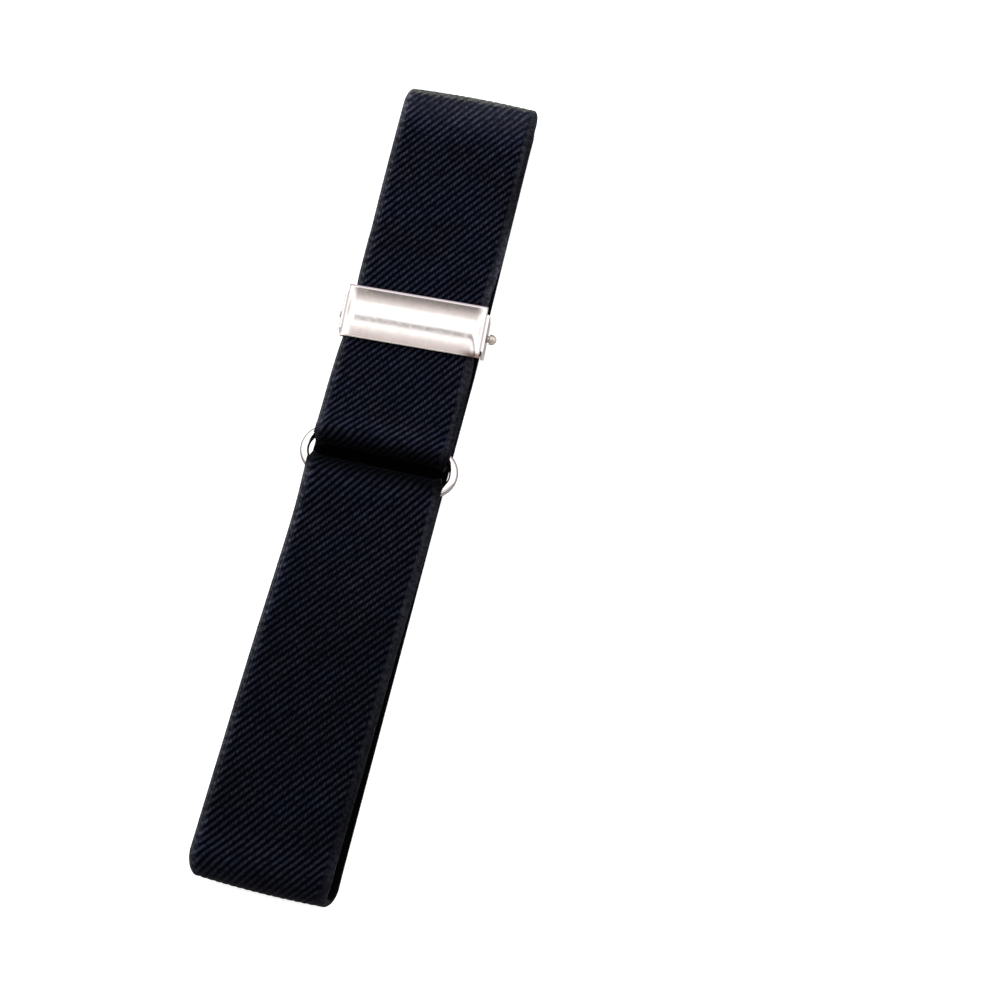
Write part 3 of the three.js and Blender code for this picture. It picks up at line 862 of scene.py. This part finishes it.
def nickel_plate(piece, name, settings, plating, painted_marks=None):
    """Bright plating with faint smudges and rub marks, and painted shade where it bends down to the sides.
    """
    material, tree, shader = new_material(name)
    place, _, facing = surface(tree)
    tarnish = tuple(min(value) for value in zip(plating, settings.tarnish))
    tone = blend_colours(tree, speckle(tree, place, 2.2 * MM, 0.0, 0.35), plating, tarnish)
    if painted_marks:
        tone = painted_marks(tree, place, settings, tone)
    look = PLATINGS[name]
    level = sums(tree, "ABSOLUTE", facing)
    upright = ramp(tree, level, *UPRIGHT_FACES, look["upright"], 1.0)
    # Painted shade on faces that turn down to the sides
    side = times(tree, ramp(tree, level, *look["sides"]), upright)
    stretched = place_node(tree, "ShaderNodeMapping", {"Vector": place, "Scale": (0.12, 1.0, 1.0)})
    feed_all(tree, shader, {
        "Base Color": blend_colours(tree, side, tone, settings.side_colour),
        "Specular Tint": settings.side_colour,
        "Metallic": 1.0,
        "Roughness": speckle(tree, place, 0.9 * MM, *look["roughness"]),
        "Normal": bump(tree, speckle(tree, stretched.outputs[0], 0.12 * MM, 0.0, 1.0), 0.0015 * MM),
    })
    piece.data.materials.append(material)


def cover_rims_and_reflection(tree, place, settings, tone):
    """Darkens the cover's upper rim, its ends and its lower edge, and paints a dark reflection in the corner
    by the pin's head.
    """
    from_middle = vectors(tree, "SUBTRACT", place, ADJUSTER_CENTRE)
    turned = Matrix.Rotation(ADJUSTER_TURN, 4, "Z")
    right, up = (turned @ Vector(axis) for axis in ((1, 0, 0), (0, 1, 0)))
    height = vectors(tree, "DOT_PRODUCT", from_middle, up, output="Value")
    sideways = sums(tree, "ABSOLUTE", vectors(tree, "DOT_PRODUCT", from_middle, right, output="Value"))
    from_end = apart(tree, sideways, COVER_LENGTH / 2 - 0.05 * MM)
    away = vectors(tree, "SUBTRACT", from_middle, turned @ CORNER_REFLECTION_PLACE)
    far = vectors(tree, "LENGTH", vectors(tree, "MULTIPLY", away, CORNER_REFLECTION_SCALE), output="Value")
    half = COVER_HEIGHT / 2
    inner = half - settings.dome_rim
    for part, dulled in (
        (ramp(tree, height, inner - 0.05 * MM, inner + 0.05 * MM), settings.rim_colour),
        (ramp(tree, from_end, 0.1 * MM, 0.3 * MM, 0.8, 0.0), [value * 0.7 for value in settings.rim_colour]),
        (ramp(tree, height, 0.2 * MM - half, 0.5 * MM - half, 1.0, 0.0), settings.tarnish),
        # Painted dark reflection in the corner by the pin's head
        (ramp(tree, far, 0.25, 1.0, 0.95, 0.0), settings.stain_colour),
    ):
        tone = blend_colours(tree, part, tone, dulled)
    return tone


def turn_and_place(piece, angle, centre):
    piece.data.transform(Matrix.Rotation(angle, 4, "Z"))
    piece.data.transform(Matrix.Translation(centre))


def dome_height(settings, x, y):
    """Height of the cover's outer face above its rim: a rounded roof with hipped ends and a rolled rim."""
    from_side = COVER_HEIGHT / 2 - np.abs(y)
    from_end = COVER_LENGTH / 2 - np.abs(x)
    rim = np.where(y > 0, settings.dome_rim, settings.lower_rim)
    side = np.clip((from_side - rim) / (COVER_HEIGHT / 2 - rim), 0, 1)
    end = np.clip((from_end - settings.dome_rim) / settings.dome_hip, 0, 1)
    dome = settings.dome_rise * np.sin(side * math.pi / 2) * np.sin(end * math.pi / 2)
    roll = np.sqrt(np.clip(1 - ((from_side - rim / 2) / (rim / 2)) ** 2, 0, 1))
    return dome + settings.bead_height * np.where((from_side < rim) & (y > 0), roll, 0)


def cover_sheet(settings):
    """Outer face of the cover as one open sheet: the domed plate, and an ear bent down at each end."""
    bend = EAR_OUTER_X - COVER_LENGTH / 2 + 0.2 * MM
    bend_x = EAR_OUTER_X - bend
    arc = bend * math.pi / 2
    ear_y = EAR_WIDTH / 2
    near = 1e-9
    top = COVER_RIM_Z + COVER_SHEET
    plate_x = np.concatenate([np.linspace(0, bend_x, 60), [COVER_LENGTH / 2]])
    plate_x = np.concatenate([-plate_x[:0:-1], plate_x])
    rows_y = np.linspace(-COVER_HEIGHT / 2, COVER_HEIGHT / 2, 67)
    rows_y = np.unique(np.concatenate([rows_y, [-ear_y, ear_y]]).round(7))
    shape = bmesh.new()

    def add_grid(xs, ys, place):
        corners = [[shape.verts.new(place(x, y)) for y in ys] for x in xs]
        for line, after in zip(corners, corners[1:]):
            for low, high, after_high, after_low in zip(line, line[1:], after[1:], after):
                shape.faces.new((low, after_low, after_high, high))

    def plate_place(x, y):
        return x, y, top + float(dome_height(settings, np.array(x), np.array(y)))

    def ear_place(side):
        def place(reach, y):
            if reach <= 0:
                return plate_place(side * bend_x, y)
            angle = min(reach / bend, math.pi / 2)
            down = max(0.0, reach - arc)
            return side * (bend_x + bend * math.sin(angle)), y, top - bend * (1 - math.cos(angle)) - down
        return place

    low, high = np.searchsorted(rows_y, (-ear_y - near, ear_y - near))
    add_grid(plate_x[1:-1], rows_y, plate_place)
    for ends in (plate_x[:2], plate_x[-2:]):
        for strip in (rows_y[high:], rows_y[:low + 1]):
            add_grid(ends, strip, plate_place)
    drop = top - bend - EAR_BOTTOM_Z
    reaches = np.concatenate([np.linspace(0, arc, 9), arc + np.linspace(0, drop, 16)[1:]])
    add_grid(reaches, rows_y[low:high + 1], ear_place(1))
    add_grid(reaches[::-1], rows_y[low:high + 1], ear_place(-1))
    bmesh.ops.remove_doubles(shape, verts=shape.verts, dist=0.01 * MM)
    bmesh.ops.recalc_face_normals(shape, faces=shape.faces)
    piece = new_piece("cover", [], [])
    shape.to_mesh(piece.data)
    shape.free()
    return piece


def lathe(name, profile, sides):
    """A solid turned round the X axis from (x, radius) points that start and end on it."""
    angles = np.linspace(0, math.tau, sides, endpoint=False)
    vertices = [(profile[0][0], 0, 0)]
    for x, radius in profile[1:-1]:
        vertices += [(x, radius * math.cos(angle), radius * math.sin(angle)) for angle in angles]
    vertices.append((profile[-1][0], 0, 0))
    faces = []
    for ring in range(len(profile) - 3):
        for side in range(sides):
            here = 1 + ring * sides
            after = (side + 1) % sides
            faces.append((here + side, here + after, here + sides + after, here + sides + side))
    last = len(vertices) - 1
    for side in range(sides):
        after = (side + 1) % sides
        faces.append((0, 1 + after, 1 + side))
        faces.append((last, last - sides + side, last - sides + after))
    piece = new_piece(name, vertices, faces)
    turn_outward(piece.data)
    return piece


def turn_outward(mesh):
    shape = bmesh.new()
    shape.from_mesh(mesh)
    bmesh.ops.recalc_face_normals(shape, faces=shape.faces)
    if shape.calc_volume(signed=True) < 0:
        bmesh.ops.reverse_faces(shape, faces=shape.faces)
    shape.to_mesh(mesh)
    shape.free()


def cut_pin_hole(piece):
    """Drills the ears for the pin."""
    reach = 2 * EAR_OUTER_X
    cutter = lathe("drill", [(-reach, 0), (-reach, PIN_HOLE / 2), (reach, PIN_HOLE / 2), (reach, 0)], 32)
    cutter.data.transform(Matrix.Translation((0, 0, PIN_Z)))
    cut = piece.modifiers.new("hole", "BOOLEAN")
    cut.operation = "DIFFERENCE"
    cut.solver = "EXACT"
    cut.object = cutter
    bake_modifiers(piece)
    bpy.data.objects.remove(cutter)


def ring_mesh():
    """Round wire bent into an oval with two straight bars."""
    sides, bend_steps, bar_steps = 24, 32, 10
    path = []
    for side in (1, -1):
        for angle in np.linspace(-math.pi / 2, math.pi / 2, bend_steps + 1):
            out = (side * math.cos(angle), side * math.sin(angle))
            path.append((side * HALF_BAR + BAR_OFFSET * out[0], BAR_OFFSET * out[1], *out))
        for x in np.linspace(side * HALF_BAR, -side * HALF_BAR, bar_steps + 1)[1:-1]:
            path.append((x, side * BAR_OFFSET, 0, side))
    vertices = []
    for x, y, out_x, out_y in path:
        for angle in np.linspace(0, math.tau, sides, endpoint=False):
            out = RING_WIRE / 2 * math.cos(angle)
            vertices.append((x + out * out_x, y + out * out_y, RING_WIRE / 2 * math.sin(angle)))
    index = np.arange(len(vertices)).reshape(len(path), sides)
    after = np.roll(index, -1, axis=0)
    corners = [index, after, np.roll(after, -1, axis=1), np.roll(index, -1, axis=1)]
    faces = np.stack(corners, -1).reshape(-1, 4)
    piece = new_piece("ring_wire", vertices, faces.tolist())
    turn_outward(piece.data)
    turn_and_place(piece, RING_TURN, RING_CENTRE)
    return piece


class GARTER_OT_band(bpy.types.Operator):
    """Weaves the elastic band round its loop"""

    bl_idname = "garter.band"
    bl_label = "Elastic Band"

    def execute(self, context):
        settings = context.scene.garter_band
        half = settings.width / 2
        piece = band_mesh(settings)
        grow(piece, twill_tree(), {
            "Pitch": settings.rib_pitch,
            "Depth": settings.rib_depth,
            "Left Limit": -half + settings.hooked_edge,
            "Right Limit": half - settings.plain_edge,
            "Unevenness": settings.unevenness,
            "Seed": settings.seed,
            "Material": webbing_material(settings),
        })
        finish_piece(piece, "elastic_band")
        return {"FINISHED"}


class GARTER_OT_ring(bpy.types.Operator):
    """Bends the oval ring from round wire"""

    bl_idname = "garter.ring"
    bl_label = "Oval Ring"

    def execute(self, context):
        settings = context.scene.garter_metal
        piece = ring_mesh()
        nickel_plate(piece, "nickel_wire", settings, settings.colour)
        finish_piece(piece, "oval_ring")
        return {"FINISHED"}


class GARTER_OT_adjuster(bpy.types.Operator):
    """Presses the adjuster's cover and turns its pin"""

    bl_idname = "garter.adjuster"
    bl_label = "Adjuster"

    def execute(self, context):
        settings = context.scene.garter_metal
        cover = cover_sheet(settings)
        wall = cover.modifiers.new("wall", "SOLIDIFY")
        wall.thickness = COVER_SHEET
        wall.offset = -1
        wall.use_even_offset = False
        bake_modifiers(cover)
        cut_pin_hole(cover)
        soften = cover.modifiers.new("edges", "BEVEL")
        soften.width = COVER_BEVEL
        soften.segments = 2
        soften.angle_limit = math.radians(50)
        bake_modifiers(cover)
        cover.data.materials.clear()
        nickel_plate(cover, "nickel_sheet", settings, settings.colour, cover_rims_and_reflection)
        adjuster_place = ADJUSTER_CENTRE.x, ADJUSTER_CENTRE.y, 0
        turn_and_place(cover, ADJUSTER_TURN, adjuster_place)
        finish_piece(cover, "slider_cover", math.radians(40))

        neck, barrel, head = PIN_NECK / 2, PIN_BARREL / 2, PIN_HEAD / 2
        barrel_end = EAR_OUTER_X - COVER_SHEET - GAP
        head_start = PIN_RIGHT_REACH - PIN_HEAD_LENGTH
        crown_start = PIN_RIGHT_REACH - head
        crown = [
            (crown_start + head * math.sin(angle), head * math.cos(angle))
            for angle in np.linspace(0, math.pi / 2, 9)[:-1]
        ]
        pin = lathe("pin", [
            (-PIN_LEFT_REACH, 0),
            (-PIN_LEFT_REACH, neck - PIN_CHAMFER),
            (PIN_CHAMFER - PIN_LEFT_REACH, neck),
            (-barrel_end, neck),
            (-barrel_end, barrel),
            (barrel_end, barrel),
            (barrel_end, neck),
            (head_start, neck),
            (head_start, head - PIN_CHAMFER / 2),
            (head_start + PIN_CHAMFER / 2, head),
            *crown,
            (PIN_RIGHT_REACH, 0),
        ], 32)
        pin.data.transform(Matrix.Translation((0, 0, PIN_Z)))
        nickel_plate(pin, "nickel_pin", settings, settings.pin_colour)
        turn_and_place(pin, ADJUSTER_TURN, adjuster_place)
        finish_piece(pin, "slider_pin", math.radians(35))
        return {"FINISHED"}


def studio(settings):
    """A white studio with a dark gap overhead, pale side walls and dimmer ones in front and behind."""
    world = bpy.data.worlds.new("studio")
    world.use_nodes = True
    tree = world.node_tree
    ray = split(tree, place_node(tree, "ShaderNodeTexCoord").outputs["Generated"])
    angle = sums(tree, "ARCTAN2", ray["Y"], ray["Z"])
    wall = place_node(tree, "ShaderNodeValToRGB")
    feed(tree, wall.inputs["Fac"], ramp(tree, angle, -math.pi / 2, math.pi / 2, curve="LINEAR"))
    stops = wall.color_ramp.elements
    while len(stops) < len(STUDIO_ROWS["angle"]):
        stops.new(1.0)
    for stop, degrees, tone in zip(stops, STUDIO_ROWS["angle"], STUDIO_ROWS["colour"]):
        stop.position = (degrees + 90) / 180
        stop.color = (*tone, 1.0)
    overhead = 0.0, math.radians(15)
    side = ramp(tree, sums(tree, "ABSOLUTE", ray["X"]), 0.3, 0.9, 0.0, 0.75)
    side = times(tree, side, ramp(tree, angle, *overhead))
    left = ramp(tree, ray["X"], -0.2, -0.1, 1.0, 0.0)
    above_front = ramp(tree, angle, math.radians(-36), math.radians(-30), 0.0, 0.8)
    left = times(tree, left, above_front, ramp(tree, angle, *overhead, 1.0, 0.0))
    walls = blend_colours(tree, most(tree, side, left), wall.outputs["Color"], (1, 1, 1))
    seen = place_node(tree, "ShaderNodeLightPath").outputs["Is Camera Ray"]
    behind = (settings.backdrop / settings.light,) * 3
    feed_all(tree, tree.nodes["Background"], {
        "Color": blend_colours(tree, seen, walls, behind), "Strength": settings.light,
    })
    return world


class GARTER_OT_stage(bpy.types.Operator):
    """Lays the floor and sets the lights and the camera"""

    bl_idname = "garter.stage"
    bl_label = "Stage"

    def execute(self, context):
        scene = context.scene
        settings = scene.garter_stage
        reach = 4.0
        corners = [(-reach, -reach, 0), (reach, -reach, 0), (reach, reach, 0), (-reach, reach, 0)]
        floor = new_piece("floor", corners, [(0, 1, 2, 3)])
        material, tree, shader = new_material("floor")
        feed_all(tree, shader, {
            "Base Color": settings.floor_colour,
            "Emission Color": (1.0, 1.0, 1.0),
            "Emission Strength": settings.floor_glow,
            "Roughness": 0.9,
            "Specular IOR Level": 0.1,
        })
        floor.data.materials.append(material)

        scene.world = studio(settings)

        data = bpy.data.cameras.new("camera")
        data.lens = settings.lens
        data.sensor_width = 36
        data.clip_start = 0.01
        camera = bpy.data.objects.new("camera", data)
        camera.location = CAMERA_PLACE
        camera.rotation_euler = (CAMERA_TARGET - CAMERA_PLACE).to_track_quat("-Z", "Y").to_euler()
        scene.collection.objects.link(camera)
        scene.camera = camera
        scene.view_settings.view_transform = "Standard"
        return {"FINISHED"}


class GARTER_PT_panel(bpy.types.Panel):
    """Lists the pieces of the garter"""

    bl_idname = "GARTER_PT_panel"
    bl_label = "Sleeve Garter"
    bl_space_type = "VIEW_3D"
    bl_region_type = "UI"
    bl_category = "Garter"

    def draw(self, context):
        scene = context.scene
        for operator, settings in (
            (GARTER_OT_band, scene.garter_band),
            (GARTER_OT_ring, None),
            (GARTER_OT_adjuster, scene.garter_metal),
            (GARTER_OT_stage, scene.garter_stage),
        ):
            self.layout.operator(operator.bl_idname)
            if settings:
                for name in settings.__annotations__:
                    self.layout.prop(settings, name)


SETTINGS = {
    "garter_band": GarterBandSettings,
    "garter_metal": GarterMetalSettings,
    "garter_stage": GarterStageSettings,
}
CLASSES = (
    *SETTINGS.values(), GARTER_OT_band, GARTER_OT_ring, GARTER_OT_adjuster, GARTER_OT_stage, GARTER_PT_panel,
)


def register():
    for each in CLASSES:
        bpy.utils.register_class(each)
    for name, group in SETTINGS.items():
        setattr(bpy.types.Scene, name, PointerProperty(type=group))


def unregister():
    for name in SETTINGS:
        delattr(bpy.types.Scene, name)
    for each in reversed(CLASSES):
        bpy.utils.unregister_class(each)


def main():
    register()
    bpy.ops.garter.stage()
    bpy.ops.garter.band()
    bpy.ops.garter.ring()
    bpy.ops.garter.adjuster()
    bpy.context.view_layer.update()


if __name__ == "__main__":
    main()
